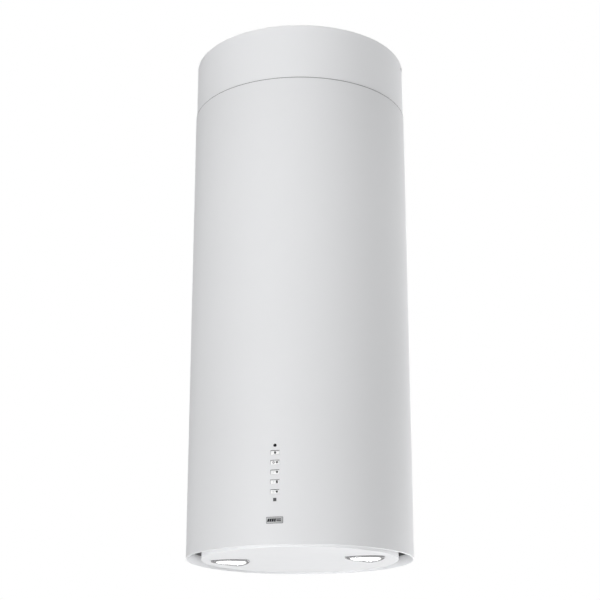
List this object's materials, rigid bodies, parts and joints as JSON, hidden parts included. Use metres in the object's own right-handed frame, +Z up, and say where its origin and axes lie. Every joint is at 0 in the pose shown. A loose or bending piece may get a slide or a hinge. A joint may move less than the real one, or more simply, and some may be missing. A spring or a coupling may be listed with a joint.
{
  "type": "island range hood",
  "caption": "Round white island cooker hood that hangs from the ceiling, with telescopic frame, blower, lamps, push buttons and hinged suction panel.",
  "frame": {"origin": "centre of the ceiling plate's top face, where the hood is screwed to the ceiling", "axes": "+Z up along the casing's axis, -Y towards the control buttons, +X to the right of a cook facing them"},
  "size_m": [0.3699, 0.3706, 0.875],
  "materials": {
    "white_paint": "satin white powder coat",
    "galvanised_steel": "galvanised sheet with spangle",
    "zinc_screws": "bright zinc plate",
    "edge_trim_rubber": "matt",
    "deck_paint": "matt dark grey",
    "black_plastic": "fine moulded texture",
    "motor_aluminium": "die cast",
    "capacitor_plastic": "moulded",
    "ground_steel": "ground",
    "terminal_plastic": "moulded",
    "circuit_board": "solder mask",
    "smoked_lens": "polished smoked",
    "badge_metal": "brushed, blank",
    "magnet": "moulded",
    "filter_aluminium": "anodised",
    "filter_weave": "expanded mesh layers",
    "button_white": "satin moulded",
    "bezel_chrome": "satin chrome",
    "lamp_diffuser": "opal diffuser",
    "impeller_plastic": "moulded"
  },
  "bodies": {
    "ceiling_frame": {"ceiling_plate": "galvanised_steel", "upper_rail_front_left": "galvanised_steel", "upper_rail_front_right": "galvanised_steel", "upper_rail_rear_left": "galvanised_steel", "upper_rail_rear_right": "galvanised_steel", "upper_brace": "galvanised_steel", "upper_chimney": "white_paint", "chimney_screws": "zinc_screws"},
    "hood_body": {"main_casing": "white_paint", "lower_rail_front_left": "galvanised_steel", "lower_rail_front_right": "galvanised_steel", "lower_rail_rear_left": "galvanised_steel", "lower_rail_rear_right": "galvanised_steel", "chassis_plate": "galvanised_steel", "chassis_struts": "galvanised_steel", "motor_bracket": "galvanised_steel", "hinge_brackets": "galvanised_steel", "clamp_screws": "zinc_screws", "chassis_screws": "zinc_screws", "housing_screws": "zinc_screws", "edge_trim": "edge_trim_rubber", "filter_deck": "deck_paint", "blower_housing_front": "black_plastic", "blower_housing_rear": "black_plastic", "outlet_collar": "black_plastic", "control_box": "black_plastic", "control_box_lid": "black_plastic", "button_guide": "black_plastic", "cable_gland": "black_plastic", "motor": "motor_aluminium", "run_capacitor": "capacitor_plastic", "flap_pin": "ground_steel", "hinge_pins": "ground_steel", "terminal_block": "terminal_plastic", "control_board": "circuit_board", "status_lens": "smoked_lens", "sensor_window": "smoked_lens", "badge_plate": "badge_metal", "catch_magnets": "magnet", "filter_frame": "filter_aluminium", "filter_mesh": "filter_weave"},
    "filter_latch": {"filter_latch": "black_plastic"},
    "light_button": {"light_button": "button_white"},
    "off_button": {"off_button": "button_white"},
    "speed_1_button": {"speed_1_button": "button_white"},
    "speed_2_button": {"speed_2_button": "button_white"},
    "boost_button": {"boost_button": "button_white"},
    "suction_panel": {"suction_panel": "white_paint", "panel_liner": "galvanised_steel", "panel_hinge_lugs": "galvanised_steel", "lamp_housing_left": "black_plastic", "lamp_housing_right": "black_plastic", "lamp_bezel_left": "bezel_chrome", "lamp_bezel_right": "bezel_chrome", "lamp_lens_left": "lamp_diffuser", "lamp_lens_right": "lamp_diffuser"},
    "impeller": {"impeller": "impeller_plastic", "motor_shaft": "ground_steel"},
    "flap_front": {"flap_front": "impeller_plastic"},
    "flap_rear": {"flap_rear": "impeller_plastic"}
  },
  "joints": [
    {"name": "height_adjustment", "type": "slide", "parent": "ceiling_frame", "child": "hood_body", "axis": [0, 0, -1], "range_m": [-0.05, 0.15]},
    {"name": "panel_hinge", "type": "hinge", "parent": "hood_body", "child": "suction_panel", "pos_m": [0, 0.14, -0.849], "axis": [1, 0, 0], "range_deg": [0, 60]},
    {"name": "impeller_spin", "type": "hinge", "parent": "hood_body", "child": "impeller", "pos_m": [-0.035, 0, -0.673], "axis": [0, 1, 0], "continuous": true},
    {"name": "flap_front_hinge", "type": "hinge", "parent": "hood_body", "child": "flap_front", "pos_m": [0, 0, -0.439], "axis": [-1, 0, 0], "range_deg": [0, 75]},
    {"name": "flap_rear_hinge", "type": "hinge", "parent": "hood_body", "child": "flap_rear", "pos_m": [0, 0, -0.439], "axis": [1, 0, 0], "range_deg": [0, 75]},
    {"name": "latch_slide", "type": "slide", "parent": "hood_body", "child": "filter_latch", "axis": [0, 1, 0], "range_m": [0, 0.005], "stiffness_N_per_m": 400, "springref_m": -0.008},
    {"name": "light_button_press", "type": "slide", "parent": "hood_body", "child": "light_button", "axis": [0, 1, 0], "range_m": [0, 0.0015], "stiffness_N_per_m": 600, "springref_m": -0.002},
    {"name": "off_button_press", "type": "slide", "parent": "hood_body", "child": "off_button", "axis": [0, 1, 0], "range_m": [0, 0.0015], "stiffness_N_per_m": 600, "springref_m": -0.002},
    {"name": "speed_1_button_press", "type": "slide", "parent": "hood_body", "child": "speed_1_button", "axis": [0, 1, 0], "range_m": [0, 0.0015], "stiffness_N_per_m": 600, "springref_m": -0.002},
    {"name": "speed_2_button_press", "type": "slide", "parent": "hood_body", "child": "speed_2_button", "axis": [0, 1, 0], "range_m": [0, 0.0015], "stiffness_N_per_m": 600, "springref_m": -0.002},
    {"name": "boost_button_press", "type": "slide", "parent": "hood_body", "child": "boost_button", "axis": [0, 1, 0], "range_m": [0, 0.0015], "stiffness_N_per_m": 600, "springref_m": -0.002}
  ]
}
